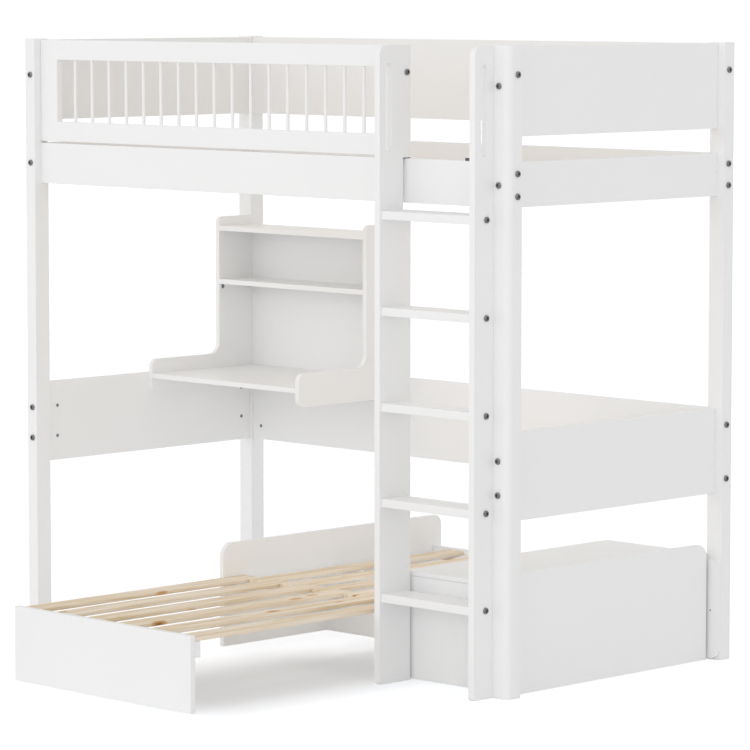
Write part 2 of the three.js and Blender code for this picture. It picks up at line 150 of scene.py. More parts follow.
def fresh_material(name: str) -> tuple[bpy.types.Material, bpy.types.NodeTree]:
    """Make an empty node material.

    Args:
        name: the material's name.

    Returns:
        The material and its cleared node tree.
    """
    material = bpy.data.materials.new(name)
    material.use_nodes = True
    material.node_tree.nodes.clear()
    return material, material.node_tree


def grain_space(tree: bpy.types.NodeTree, grain: Axis, stretch: float) -> bpy.types.NodeSocket:
    """Coordinates in metres that run slowly along the grain.

    Args:
        tree: the node tree.
        grain: the axis that the wood's fibres follow.
        stretch: how many times longer a pattern is along the grain.

    Returns:
        The vector socket of the stretched coordinates.
    """
    coordinates = add_node(tree, "ShaderNodeTexCoord")
    scale = Vector((1.0, 1.0, 1.0)) + grain.value * (1.0 / stretch - 1.0)
    mapping = add_node(
        tree, "ShaderNodeMapping", {"Scale": scale}, {"Vector": coordinates.outputs["Object"]}
    )
    return mapping.outputs["Vector"]


def calculate(
    tree: bpy.types.NodeTree, operation: str, *terms: object, kind: str = "ShaderNodeMath"
) -> bpy.types.NodeSocket:
    """Add a math node.

    Args:
        tree: the node tree.
        operation: what it works out.
        terms: its inputs in order, each a value or a socket.
        kind: the node's type name, for numbers or for vectors.

    Returns:
        The result's socket.
    """
    settings: dict = {"operation": operation}
    links = {}
    for place, term in enumerate(terms):
        inputs = links if isinstance(term, bpy.types.NodeSocket) else settings
        inputs[place] = term
    node = add_node(tree, kind, settings, links)
    return node.outputs["Value" if operation == "DOT_PRODUCT" else 0]


def noise(
    tree: bpy.types.NodeTree,
    space: bpy.types.NodeSocket,
    size_mm: float,
    detail: float,
    roughness: float = 0.5,
) -> bpy.types.Node:
    """Add a noise pattern.

    Args:
        tree: the node tree.
        space: its coordinates, in metres.
        size_mm: about how wide its features are.
        detail: how many finer layers it has.
        roughness: how strong the finer layers are.

    Returns:
        The noise node.
    """
    settings = {"Scale": 1.0 / (size_mm * MM), "Detail": detail, "Roughness": roughness}
    return add_node(tree, "ShaderNodeTexNoise", settings, {"Vector": space})


def remap(
    tree: bpy.types.NodeTree,
    value: bpy.types.NodeSocket,
    result: tuple[float, float],
    source: tuple[float, float] = (0.0, 1.0),
) -> bpy.types.NodeSocket:
    """Map one range of values onto another.

    Args:
        tree: the node tree.
        value: the value's socket.
        result: the ends of the new range.
        source: the ends of the old one.

    Returns:
        The new value's socket.
    """
    names = ("From Min", "From Max", "To Min", "To Max")
    settings = dict(zip(names, source + result))
    return add_node(tree, "ShaderNodeMapRange", settings, {"Value": value}).outputs["Result"]


def relief(
    tree: bpy.types.NodeTree,
    height: bpy.types.NodeSocket,
    depth_mm: float,
    strength: float = 1.0,
    under: Optional[bpy.types.NodeSocket] = None,
) -> bpy.types.NodeSocket:
    """Turn a pattern into fine relief.

    Args:
        tree: the node tree.
        height: the pattern's socket.
        depth_mm: how deep it is.
        strength: how much of it shows.
        under: a coarser relief that it lies on.

    Returns:
        The normal's socket.
    """
    settings = {"Strength": strength, "Distance": depth_mm * MM}
    links = {"Height": height} if under is None else {"Height": height, "Normal": under}
    return add_node(tree, "ShaderNodeBump", settings, links).outputs["Normal"]


def add_surface(tree: bpy.types.NodeTree, settings: dict, links: dict) -> None:
    """Add a principled surface to a material.

    Args:
        tree: the material's node tree.
        settings: the surface's values by input name.
        links: the sockets that feed its other inputs.
    """
    surface = add_node(tree, "ShaderNodeBsdfPrincipled", settings, links)
    add_node(tree, "ShaderNodeOutputMaterial", links={"Surface": surface.outputs["BSDF"]})


def drifting(value: float, drift: tuple[float, float]) -> tuple[float, float]:
    """Range that a value drifts over."""
    return (value + drift[0], value + drift[1])


@dataclass(frozen=True)
class Lacquer:
    """Satin water-based lacquer, sprayed in two coats and lightly sanded between.

    It is opaque white, a little warm, and its sheen is soft. On solid pine the fibres rise
    slightly under it, and on fibreboard it is smooth but for the spray's fine orange peel.
    """

    name: str
    grain: Axis
    fibre_depth_mm: float
    colour: str = "#F7F7F7"
    shaded_colour: str = "#F6F6F6"
    roughness: float = 0.42
    sheen_drift: tuple[float, float] = (-0.04, 0.05)
    cloud_mm: float = 420.0
    cloud_stops: tuple[float, float] = (0.35, 0.65)
    fibre_mm: float = 5.0
    fibre_stretch: float = 26.0
    peel_mm: float = 3.0
    peel_depth_mm: float = 0.02

    def material(self) -> bpy.types.Material:
        """Build the material.

        Returns:
            The lacquer as a node material.
        """
        material, tree = fresh_material(self.name)
        along = grain_space(tree, self.grain, self.fibre_stretch)
        plain = grain_space(tree, self.grain, 1.0)
        # Slow drift of the coat's tone over a board
        cloud = noise(tree, plain, self.cloud_mm, detail=2.0, roughness=0.4).outputs["Fac"]
        tones = list(zip(self.cloud_stops, (self.shaded_colour, self.colour)))
        # Fibres drawn wider than pine's, so that they show at this distance
        fibre = noise(tree, along, self.fibre_mm, detail=3.0, roughness=0.6).outputs["Fac"]
        fibres = relief(tree, fibre, self.fibre_depth_mm)
        # Spray grain, several times coarser than real orange peel for the same reason
        peel = noise(tree, plain, self.peel_mm, detail=1.0).outputs["Fac"]
        sheen = remap(tree, fibre, drifting(self.roughness, self.sheen_drift))
        add_surface(
            tree,
            {"IOR": 1.5, "Specular IOR Level": 0.35},
            {
                "Base Color": colour_ramp(tree, cloud, tones),
                "Roughness": sheen,
                "Normal": relief(tree, peel, self.peel_depth_mm, under=fibres),
            },
        )
        return material


@dataclass(frozen=True)
class PlanedPine:
    """Bare pine, planed and lightly rounded, as slats are sold.

    Pale sapwood with honey-coloured growth rings along the slat and long, yellow-brown knots.
    """

    name: str
    grain: Axis
    sapwood: str = "#F6ECDE"
    heartwood: str = "#EDDCC4"
    ring: str = "#DFC8A5"
    rim_colour: str = "#D2A26A"
    core_colour: str = "#9A683A"
    roughness: float = 0.62
    ring_mm: float = 17.0
    ring_stops: tuple[float, ...] = (0.30, 0.50, 0.62, 0.72)
    waver_mm: float = 70.0
    waver_reach_mm: float = 18.0
    fibre_mm: float = 3.5
    fibre_stretch: float = 22.0
    fibre_depth_mm: float = 0.12
    knot_spacing_mm: float = 66.0
    knot_mm: float = 13.0
    knot_core: float = 0.25
    knot_stretch: float = 2.8
    rim_span: tuple[float, float] = (0.0, 0.45)
    core_span: tuple[float, float] = (0.55, 1.0)

    def _rings(self, tree: bpy.types.NodeTree, space: bpy.types.NodeSocket) -> bpy.types.NodeSocket:
        """Colour of the growth rings as wavering bands along the slat.

        Args:
            tree: the material's node tree.
            space: coordinates that run slowly along the slat.

        Returns:
            The colour's socket.
        """
        waver = noise(tree, space, self.waver_mm, detail=2.0).outputs["Color"]
        reach = (self.waver_reach_mm * MM,) * 3
        bent = calculate(tree, "MULTIPLY_ADD", waver, reach, space, kind=VECTOR_MATH)
        bands = noise(tree, bent, self.ring_mm, detail=3.5, roughness=0.55).outputs["Fac"]
        colours = (self.sapwood, self.heartwood, self.ring, self.heartwood)
        return colour_ramp(tree, bands, list(zip(self.ring_stops, colours)))

    def _knots(self, tree: bpy.types.NodeTree) -> bpy.types.NodeSocket:
        """How far a point lies inside a knot.

        Args:
            tree: the material's node tree.

        Returns:
            The socket of a value from 0 outside to 1 in the knot's core.
        """
        cells = add_node(
            tree,
            "ShaderNodeTexVoronoi",
            {"Scale": 1.0 / (self.knot_spacing_mm * MM), "Randomness": 1.0},
            {"Vector": grain_space(tree, self.grain, self.knot_stretch)},
        )
        reach = self.knot_mm / self.knot_spacing_mm
        span = (reach, reach * self.knot_core)
        return remap(tree, cells.outputs["Distance"], (0.0, 1.0), span)

    def _stained(
        self,
        tree: bpy.types.NodeTree,
        wood: bpy.types.NodeSocket,
        inside: bpy.types.NodeSocket,
        span: tuple[float, float],
        colour: str,
    ) -> bpy.types.NodeSocket:
        """Colour a part of the knots.

        Args:
            tree: the material's node tree.
            wood: the colour around that part.
            inside: how far a point lies inside a knot.
            span: where on the way inside the colour comes in.
            colour: its sRGB hex colour.

        Returns:
            The mixed colour's socket.
        """
        share = remap(tree, inside, (0.0, 1.0), span)
        settings = {"data_type": "RGBA", 7: linear(colour)}
        return add_node(tree, "ShaderNodeMix", settings, {0: share, 6: wood}).outputs[2]

    def material(self) -> bpy.types.Material:
        """Build the material.

        Returns:
            The pine as a node material.
        """
        material, tree = fresh_material(self.name)
        along = grain_space(tree, self.grain, self.fibre_stretch)
        wood = self._rings(tree, along)
        inside = self._knots(tree)
        wood = self._stained(tree, wood, inside, self.rim_span, self.rim_colour)
        wood = self._stained(tree, wood, inside, self.core_span, self.core_colour)
        fibre = noise(tree, along, self.fibre_mm, detail=3.0).outputs["Fac"]
        add_surface(
            tree,
            {"IOR": 1.5, "Roughness": self.roughness, "Specular IOR Level": 0.3},
            {"Base Color": wood, "Normal": relief(tree, fibre, self.fibre_depth_mm)},
        )
        return material


@dataclass(frozen=True)
class Steel:
    """Steel hardware with a fine turned or brushed surface under its plating.

    The brushing spreads its reflections, so that it reads as grey metal and not as a mirror.
    """

    name: str
    colour: str
    roughness: float
    sheen_drift: tuple[float, float] = (-0.08, 0.1)
    brush_mm: float = 0.6
    brush_stretch: float = 14.0
    brush_depth_mm: float = 0.01
    brush_strength: float = 0.6

    def material(self) -> bpy.types.Material:
        """Build the material.

        Returns:
            The steel as a node material.
        """
        material, tree = fresh_material(self.name)
        space = grain_space(tree, Axis.X, self.brush_stretch)
        brush = noise(tree, space, self.brush_mm, detail=2.0).outputs["Fac"]
        brushing = relief(tree, brush, self.brush_depth_mm, self.brush_strength)
        sheen = remap(tree, brush, drifting(self.roughness, self.sheen_drift))
        add_surface(
            tree,
            {"Base Color": linear(self.colour), "Metallic": 1.0},
            {"Roughness": sheen, "Normal": brushing},
        )
        return material


@dataclass
class Finishes:
    """Every finish of the bed, built once."""

    solid: dict[Axis, bpy.types.Material] = field(default_factory=dict)
    fibreboard: dict[Axis, bpy.types.Material] = field(default_factory=dict)
    pine: dict[Axis, bpy.types.Material] = field(default_factory=dict)
    bolt: Optional[bpy.types.Material] = None
    # Darker steel: painted shade in the bolts' sockets, and the plates in the ladder's notches
    socket: Optional[bpy.types.Material] = None
    hinge: Optional[bpy.types.Material] = None

    @classmethod
    def build(cls) -> "Finishes":
        """Make all materials.

        Returns:
            The filled set of finishes.
        """
        finishes = cls()
        for axis in Axis:
            run = f"along_{axis.name.lower()}"
            solid = Lacquer(f"lacquer_sprayed_on_pine_{run}", axis, 0.10)
            board = Lacquer(f"lacquer_sprayed_on_fibreboard_{run}", axis, 0.02)
            finishes.solid[axis] = solid.material()
            finishes.fibreboard[axis] = board.material()
        finishes.pine[Axis.Y] = PlanedPine("pine_planed_along_y", Axis.Y).material()
        # Black zinc shines mid grey in this light, and the sockets a little darker: painted shade
        # in their recesses
        finishes.bolt = Steel("steel_bolt_black_zinc", "#8E8E91", 0.42).material()
        finishes.socket = Steel("steel_socket_in_shade", "#6C6C6F", 0.6).material()
        finishes.hinge = Steel("steel_hinge_nickel_plated", "#C4C5C7", 0.32).material()
        return finishes


@dataclass(frozen=True)
class Easing:
    """How far the edges of a piece are rounded with sandpaper, by where they run.

    The radius holds for the edges along the piece's run. The other shares are parts of it: ends
    for the edges across the run, foot for those on the floor and fit for those in a cut-out
    that fits over another piece.
    """

    radius_mm: float
    run: Optional[Axis] = None
    ends: float = 1.0
    foot: float = 0.25
    fit: float = 0.3
    fit_low: Vector = field(default_factory=Vector, compare=False)
    fit_high: Vector = field(default_factory=Vector, compare=False)

    @staticmethod
    def _share(
        group: bpy.types.NodeTree, inside: bpy.types.NodeSocket, share: float
    ) -> bpy.types.NodeSocket:
        """Turn a test's 1 into a share and its 0 into 1."""
        return calculate(group, "MULTIPLY_ADD", inside, share - 1.0, 1.0)

    @staticmethod
    def _is_sharp(group: bpy.types.NodeTree) -> bpy.types.NodeSocket:
        """Test whether an edge's faces meet at more than 40 degrees."""
        angle = add_node(group, "GeometryNodeInputMeshEdgeAngle")
        return calculate(group, "GREATER_THAN", angle.outputs["Unsigned Angle"], SHARP_FROM)

    def _is_across(
        self, group: bpy.types.NodeTree, ends: bpy.types.Node
    ) -> bpy.types.NodeSocket:
        """Test whether an edge doesn't follow the run.

        Args:
            group: the geometry node group.
            ends: the node that gives the places of the edge's ends.

        Returns:
            The socket of the test, 1 where it holds.
        """
        first, second = ends.outputs["Position 1"], ends.outputs["Position 2"]
        way = calculate(group, "SUBTRACT", second, first, kind=VECTOR_MATH)
        unit = calculate(group, "NORMALIZE", way, kind=VECTOR_MATH)
        along = calculate(group, "DOT_PRODUCT", unit, self.run.value, kind=VECTOR_MATH)
        return calculate(group, "LESS_THAN", calculate(group, "ABSOLUTE", along), FOLLOWS_RUN)

    @staticmethod
    def _is_within(
        group: bpy.types.NodeTree, middle: bpy.types.NodeSocket, low: Vector, high: Vector
    ) -> bpy.types.NodeSocket:
        """Test whether an edge's middle lies in a box.

        Args:
            group: the geometry node group.
            middle: the edge's middle.
            low: the box's lowest corner, in metres.
            high: its highest corner, in metres.

        Returns:
            The socket of the test, 1 where it holds.
        """
        offset = calculate(group, "SUBTRACT", middle, (low + high) / 2, kind=VECTOR_MATH)
        away = calculate(group, "ABSOLUTE", offset, kind=VECTOR_MATH)
        spare = calculate(group, "SUBTRACT", (high - low) / 2, away, kind=VECTOR_MATH)
        parts = add_node(group, "ShaderNodeSeparateXYZ", links={0: spare})
        least = calculate(group, "MINIMUM", parts.outputs["Y"], parts.outputs["Z"])
        least = calculate(group, "MINIMUM", parts.outputs["X"], least)
        return calculate(group, "GREATER_THAN", least, 0.0)

    def group(self) -> bpy.types.NodeTree:
        """Node group that smooths the faces and writes each edge's share as its bevel weight.

        Returns:
            The geometry node group.
        """
        group = bpy.data.node_groups.new("edge_shares", "GeometryNodeTree")
        group.interface.new_socket("Geometry", in_out="INPUT", socket_type="NodeSocketGeometry")
        group.interface.new_socket("Geometry", in_out="OUTPUT", socket_type="NodeSocketGeometry")
        start = add_node(group, "NodeGroupInput")
        smooth = add_node(group, "GeometryNodeSetShadeSmooth", links={0: start.outputs[0]})
        ends = add_node(group, "GeometryNodeInputMeshEdgeVertices")
        first, second = ends.outputs["Position 1"], ends.outputs["Position 2"]
        middle = calculate(group, "MULTIPLY", second, HALF, kind=VECTOR_MATH)
        middle = calculate(group, "MULTIPLY_ADD", first, HALF, middle, kind=VECTOR_MATH)
        shares = [self._share(group, self._is_within(group, middle, *FLOOR_ZONE), self.foot)]
        if self.run is not None:
            shares.append(self._share(group, self._is_across(group, ends), self.ends))
        if self.fit_high != self.fit_low:
            inside = self._is_within(group, middle, self.fit_low, self.fit_high)
            shares.append(self._share(group, inside, self.fit))
        weight = self._is_sharp(group)
        for share in shares:
            weight = calculate(group, "MULTIPLY", weight, share)
        store = add_node(
            group,
            "GeometryNodeStoreNamedAttribute",
            {"data_type": "FLOAT", "domain": "EDGE", "Name": "bevel_weight_edge"},
            {"Geometry": smooth.outputs[0], "Value": weight},
        )
        add_node(group, "NodeGroupOutput", links={0: store.outputs[0]})
        return group


def soften(node_name: str, easing: Easing, material: bpy.types.Material) -> None:
    """Round the edges of a CAD node and give it its finish.

    Args:
        node_name: the CAD node.
        easing: how far its edges are eased.
        material: its finish.
    """
    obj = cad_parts[node_name]
    weld = obj.modifiers.new("weld", "WELD")
    weld.merge_threshold = WELD_REACH
    shares = obj.modifiers.new("edge_shares", "NODES")
    shares.node_group = easing.group()
    bevel = obj.modifiers.new("eased_edges", "BEVEL")
    bevel.width = easing.radius_mm * MM
    bevel.segments = BEVEL_SEGMENTS
    bevel.limit_method = "WEIGHT"
    bevel.use_clamp_overlap = True
    weighted = obj.modifiers.new("flat_faces_stay_flat", "WEIGHTED_NORMAL")
    weighted.weight = FLAT_FACES_WIN
    obj.material_slots[0].link = "OBJECT"
    obj.material_slots[0].material = material
    log.info("dressed %s", node_name)


def facing(place: Vector, normal: Vector) -> Matrix:
    """Placement of a fitting drawn about +Z.

    Args:
        place: where its base lies.
        normal: the way that it looks.

    Returns:
        The matrix that turns +Z to the normal and moves it to the place.
    """
    turn = normal.normalized().to_track_quat("Z", "Y").to_matrix().to_4x4()
    return Matrix.Translation(place) @ turn


@dataclass(frozen=True)
class TurnedFitting:
    """A small round fitting, drawn as rings about +Z from its outer foot inwards.

    The rings are (radius, height) in millimetres. From hex_from on they are hexagonal, which
    makes a socket, and the last one is closed by a flat floor. It is tall times as high as wide.
    """

    name: str
    rings_mm: tuple[tuple[float, float], ...]
    hex_from: int = WITHOUT_SOCKET
    sides: int = 24
    tall: float = 1.0

    def _radius(self, ring: int, angle: float) -> float:
        """Radius of a ring at an angle, in metres."""
        radius = self.rings_mm[ring][0] * MM
        if ring < self.hex_from:
            return radius
        return radius / math.cos(angle % HEX_SECTOR - HEX_SECTOR / 2)

    def mesh(self) -> bpy.types.Mesh:
        """Build the fitting's mesh.

        Returns:
            A mesh with the rings joined by faces, smooth but for the socket.
        """
        shape = bmesh.new()
        loops = []
        for ring, (_, height) in enumerate(self.rings_mm):
            loop = []
            for step in range(self.sides):
                angle = 2 * math.pi * step / self.sides
                radius = self._radius(ring, angle)
                across = radius * math.cos(angle)
                upwards = radius * math.sin(angle) * self.tall
                loop.append(shape.verts.new((across, upwards, height * MM)))
            loops.append(loop)
        for ring, (outer, inner) in enumerate(zip(loops, loops[1:])):
            for step in range(self.sides):
                after = (step + 1) % self.sides
                face = shape.faces.new((outer[step], outer[after], inner[after], inner[step]))
                face.material_index = int(ring + 1 >= self.hex_from)
        floor = shape.faces.new(loops[-1])
        floor.material_index = int(len(loops) > self.hex_from)
        mesh = bpy.data.meshes.new(self.name)
        shape.to_mesh(mesh)
        shape.free()
        return mesh


@dataclass
class Fittings:
    """Places fittings that share one mesh, and makes each ride on its body."""

    finishes: Finishes
    meshes: dict[tuple[str, str], bpy.types.Mesh] = field(default_factory=dict)
    count: int = 0

    def place(
        self,
        fitting: TurnedFitting,
        place: Vector,
        normal: Vector,
        body: str = BED,
        material: Optional[bpy.types.Material] = None,
    ) -> None:
        """Put a fitting on a face.

        Args:
            fitting: what is placed.
            place: the centre of its foot, in metres.
            normal: the outward direction of the face.
            body: the CAD body that it moves with.
            material: its finish, black zinc unless given.
        """
        finish = material or self.finishes.bolt
        key = (fitting.name, finish.name)
        if key not in self.meshes:
            mesh = fitting.mesh()
            mesh.materials.append(finish)
            # The socket's faces take the darker steel, which paints the shade in the recess
            mesh.materials.append(self.finishes.socket)
            self.meshes[key] = mesh
        self.count += 1
        obj = bpy.data.objects.new(f"{fitting.name}_{self.count}", self.meshes[key])
        bpy.context.scene.collection.objects.link(obj)
        obj.matrix_world = facing(place, normal)
        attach(obj, body)

    def plate(self, name: str, low: Vector, high: Vector) -> None:
        """Put a flat plate of the darker socket steel between two corners.

        Args:
            name: the plate's name.
            low: its lowest corner, in metres.
            high: its highest corner, in metres.
        """
        shape = bmesh.new()
        bmesh.ops.create_cube(shape, size=1.0)
        bmesh.ops.scale(shape, vec=high - low, verts=shape.verts)
        mesh = bpy.data.meshes.new(name)
        shape.to_mesh(mesh)
        shape.free()
        mesh.materials.append(self.finishes.socket)
        obj = bpy.data.objects.new(name, mesh)
        bpy.context.scene.collection.objects.link(obj)
        obj.matrix_world = Matrix.Translation((low + high) / 2)
        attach(obj, BED)


# Head of a connector bolt, 5 mm proud, with a hex socket
BOLT_DOME = ((9.2, -0.4), (9.2, 3.2), (8.9, 4.3), (8.1, 5.0), (7.2, 5.2), (4.6, 5.2))
BOLT_SOCKET = ((4.2, 5.0), (4.0, 3.0))
BOLT = TurnedFitting("bolt_head", BOLT_DOME + BOLT_SOCKET, hex_from=len(BOLT_DOME))
# Round cap of the nut that such a bolt meets inside a board
CROSS_NUT = TurnedFitting(
    "cross_nut", ((5.6, -0.3), (5.6, 0.35), (5.0, 0.5), (1.6, 0.5), (1.4, 0.1))
)
# Shelf pin: a tall oval plate and the stub that the shelf lies on
SHELF_PIN = TurnedFitting(
    "shelf_pin",
    ((4.5, -0.2), (4.5, 1.3), (3.9, 1.9), (2.7, 2.1), (2.6, 6.4), (2.0, 7.1), (1.0, 7.3)),
    tall=1.85,
)
# Plug of an unused hole for such a pin
HOLE_PLUG = TurnedFitting(
    "hole_plug", ((2.7, -0.1), (2.7, 0.35), (2.3, 0.6), (1.1, 0.6), (0.9, 0.2))
)
# Countersunk screw head with its recess
SLAT_SCREW = TurnedFitting(
    "slat_screw", ((2.6, -0.2), (2.6, 0.1), (2.3, 0.3), (1.2, 0.3), (1.0, 0.1))
)


@dataclass
class BedFrame:
    """Posts, rails, guards and lower boards, with the bolts that hold them."""

    finishes: Finishes
    fittings: Fittings
    board_edge_mm: float = 1.6
    board_ends: float = 0.5
    post_edge: Easing = Easing(2.4, Axis.Z, ends=0.35, foot=0.5)
    guard_edge: Easing = Easing(1.6)
    slat_edge: Easing = Easing(2.0)
    bolt_setback: float = 37 * MM
    end_bolt_heights: tuple[float, ...] = (1735 * MM, 1457 * MM, 678 * MM, 581 * MM)
    long_bolt_heights: tuple[float, ...] = (1767 * MM, 1489 * MM, 1425 * MM)
    rear_bolt_heights: tuple[float, ...] = (709.5 * MM, 548 * MM)
    nut_setback: float = 38 * MM

    def dress(self) -> None:
        """Give the frame's nodes their edges and finishes."""
        for front in ("front", "rear"):
            for side in ("left", "right"):
                for part in ("lower", "upper"):
                    name = f"post_{front}_{side}_{part}"
                    soften(name, self.post_edge, self.finishes.solid[Axis.Z])
        for kind in ("rail", "guard", "lower_board"):
            for side, axis in BOARD_RUNS.items():
                name = f"{kind}_{side}"
                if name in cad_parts:
                    easing = Easing(self.board_edge_mm, axis, self.board_ends)
                    soften(name, easing, self.finishes.solid[axis])
        soften("front_guard", self.guard_edge, self.finishes.solid[Axis.X])
        soften("bed_slat_base", self.slat_edge, self.finishes.pine[Axis.Y])

    def bolt(self) -> None:
        """Put the bolt heads on the posts' outer faces and the nuts inside the boards."""
        for front in ("front", "rear"):
            for side in ("left", "right"):
                low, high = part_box(f"post_{front}_{side}_lower")
                outer_x, sign_x = (high.x, 1) if side == "right" else (low.x, -1)
                outer_y, sign_y = (high.y, 1) if front == "rear" else (low.y, -1)
                x = outer_x - sign_x * self.bolt_setback
                y = outer_y - sign_y * self.bolt_setback
                for height in self.end_bolt_heights:
                    self.fittings.place(BOLT, Vector((x, outer_y, height)), sign_y * Axis.Y.value)
                heights = self.long_bolt_heights
                if front == "rear":
                    heights += self.rear_bolt_heights
                for height in heights:
                    self.fittings.place(BOLT, Vector((outer_x, y, height)), sign_x * Axis.X.value)
        self._nuts()

    def _nuts(self) -> None:
        """Put the cross nuts on the inner faces of the end boards and the rear board."""
        heights_in = {"lower_board": self.end_bolt_heights[2:], "rail": self.end_bolt_heights[1:2]}
        for side, sign in (("left", 1), ("right", -1)):
            normal = sign * Axis.X.value
            for kind, heights in heights_in.items():
                low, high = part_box(f"{kind}_{side}")
                face = high.x if sign > 0 else low.x
                for y in (low.y + self.nut_setback, high.y - self.nut_setback):
                    for height in heights:
                        self.fittings.place(CROSS_NUT, Vector((face, y, height)), normal)
        low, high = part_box("lower_board_rear")
        for x in (low.x + self.nut_setback, high.x - self.nut_setback):
            for height in self.rear_bolt_heights:
                self.fittings.place(CROSS_NUT, Vector((x, low.y, height)), -Axis.Y.value)


@dataclass
class Ladder:
    """Two slotted sides and five rungs, with the bolts that carry the rungs."""

    finishes: Finishes
    fittings: Fittings
    rungs: range = range(1, 6)
    stile_edge_mm: float = 2.2
    notch_depth: float = 29 * MM
    notch_spare: float = 4 * MM
    rung_edge: Easing = Easing(3.5, Axis.X, ends=0.1)
    guard_bolt_height: float = 1768 * MM
    guard_bolt_setback: float = 16 * MM
    rung_bolt_setback: float = 48 * MM
    strip_inset: float = 0.2 * MM
    strip_overhang: float = 8 * MM
    strip_bottom: float = 0.1 * MM
    strip_top: float = 2.4 * MM
    dark_plate_reach: float = 122 * MM
    dark_plate_setbacks: tuple[float, float] = (14 * MM, 4 * MM)
    dark_plate_height: float = 8 * MM

    def dress(self) -> None:
        """Give the ladder its edges and finishes."""
        rail_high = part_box("rail_front")[1]
        rung_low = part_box("ladder_rung_5")[0]
        for side in ("left", "right"):
            name = f"ladder_stile_{side}"
            low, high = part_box(name)
            notch_low = Vector((low.x - MM, high.y - self.notch_depth, rung_low.z))
            notch_high = Vector((high.x + MM, high.y + MM, rail_high.z + self.notch_spare))
            easing = Easing(self.stile_edge_mm, fit_low=notch_low, fit_high=notch_high)
            soften(name, easing, self.finishes.solid[Axis.Z])
        for number in self.rungs:
            soften(f"ladder_rung_{number}", self.rung_edge, self.finishes.solid[Axis.X])

    def bolt(self) -> None:
        """Put a bolt at each rung's end, and the one that ties the left side to the guard."""
        left_low, left_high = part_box("ladder_stile_left")
        right_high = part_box("ladder_stile_right")[1]
        for number in self.rungs:
            low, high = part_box(f"ladder_rung_{number}")
            y = left_low.y + self.rung_bolt_setback
            height = (low.z + high.z) / 2
            self.fittings.place(BOLT, Vector((left_low.x, y, height)), -Axis.X.value)
            self.fittings.place(BOLT, Vector((right_high.x, y, height)), Axis.X.value)
        y = left_high.y - self.guard_bolt_setback
        place = Vector((left_high.x, y, self.guard_bolt_height))
        self.fittings.place(BOLT, place, Axis.X.value)

    def hook(self) -> None:
        """Fill the notches' top gaps over the rail with thin dark plates that paint their shadow,
        and lay a dark plate on the rail's top beside them.
        """
        rail_low, rail_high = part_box("rail_front")
        for side in ("left", "right"):
            low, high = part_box(f"ladder_stile_{side}")
            inner_y, outer_y = high.y - self.strip_inset, rail_low.y - self.strip_overhang
            bottom, top = rail_high.z + self.strip_bottom, rail_high.z + self.strip_top
            strip_low = Vector((low.x + self.strip_inset, outer_y, bottom))
            strip_high = Vector((high.x - self.strip_inset, inner_y, top))
            # A thin dark plate fills the gap between notch and rail top: painted shadow of the gap
            self.fittings.plate(f"notch_steel_{side}", strip_low, strip_high)
        # The dark plate on the rail's top ends at the right side, whose corners the loop leaves
        # behind
        outer_y, inner_y = (rail_high.y - setback for setback in self.dark_plate_setbacks)
        dark_plate_low = Vector((low.x - self.dark_plate_reach, outer_y, rail_high.z))
        dark_plate_high = Vector((low.x, inner_y, rail_high.z + self.dark_plate_height))
        self.fittings.plate("ladder_dark_plate", dark_plate_low, dark_plate_high)


@dataclass
class DeskUnit:
    """Desk sides, top, back and shelves, with the shelf pins and their rows of holes."""

    finishes: Finishes
    fittings: Fittings
    side_edge: Easing = Easing(2.4)
    shelf_edge: Easing = Easing(2.4, Axis.X, ends=0.2)
    back_edge: Easing = Easing(0.5)
    pin_setback: float = 15 * MM
    pin_depth: float = 122 * MM
    hole_pitch: float = 32 * MM
    hole_rows: tuple[int, ...] = (1, 2, 3)

    def dress(self) -> None:
        """Give the desk its edges and finishes."""
        for side in ("left", "right"):
            soften(f"desk_side_{side}", self.side_edge, self.finishes.fibreboard[Axis.Z])
        for name in ("desk_top", "desk_shelf_upper", "desk_shelf_lower"):
            soften(name, self.shelf_edge, self.finishes.fibreboard[Axis.X])
        soften("desk_back", self.back_edge, self.finishes.fibreboard[Axis.X])

    def pin(self) -> None:
        """Put pins under the lower shelf, and the rows of plugged holes above them."""
        low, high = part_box("desk_shelf_lower")
        front_row = low.y + self.pin_setback
        half_pin = SHELF_PIN.rings_mm[0][0] * SHELF_PIN.tall * MM
        plug = self.finishes.fibreboard[Axis.Z]
        for y in (front_row, front_row + self.pin_depth):
            for x, sign in ((low.x, 1), (high.x, -1)):
                normal = sign * Axis.X.value
                height = low.z - half_pin
                self.fittings.place(SHELF_PIN, Vector((x, y, height)), normal)
                for row in self.hole_rows:
                    place = Vector((x, y, height + row * self.hole_pitch))
                    self.fittings.place(HOLE_PLUG, place, normal, material=plug)


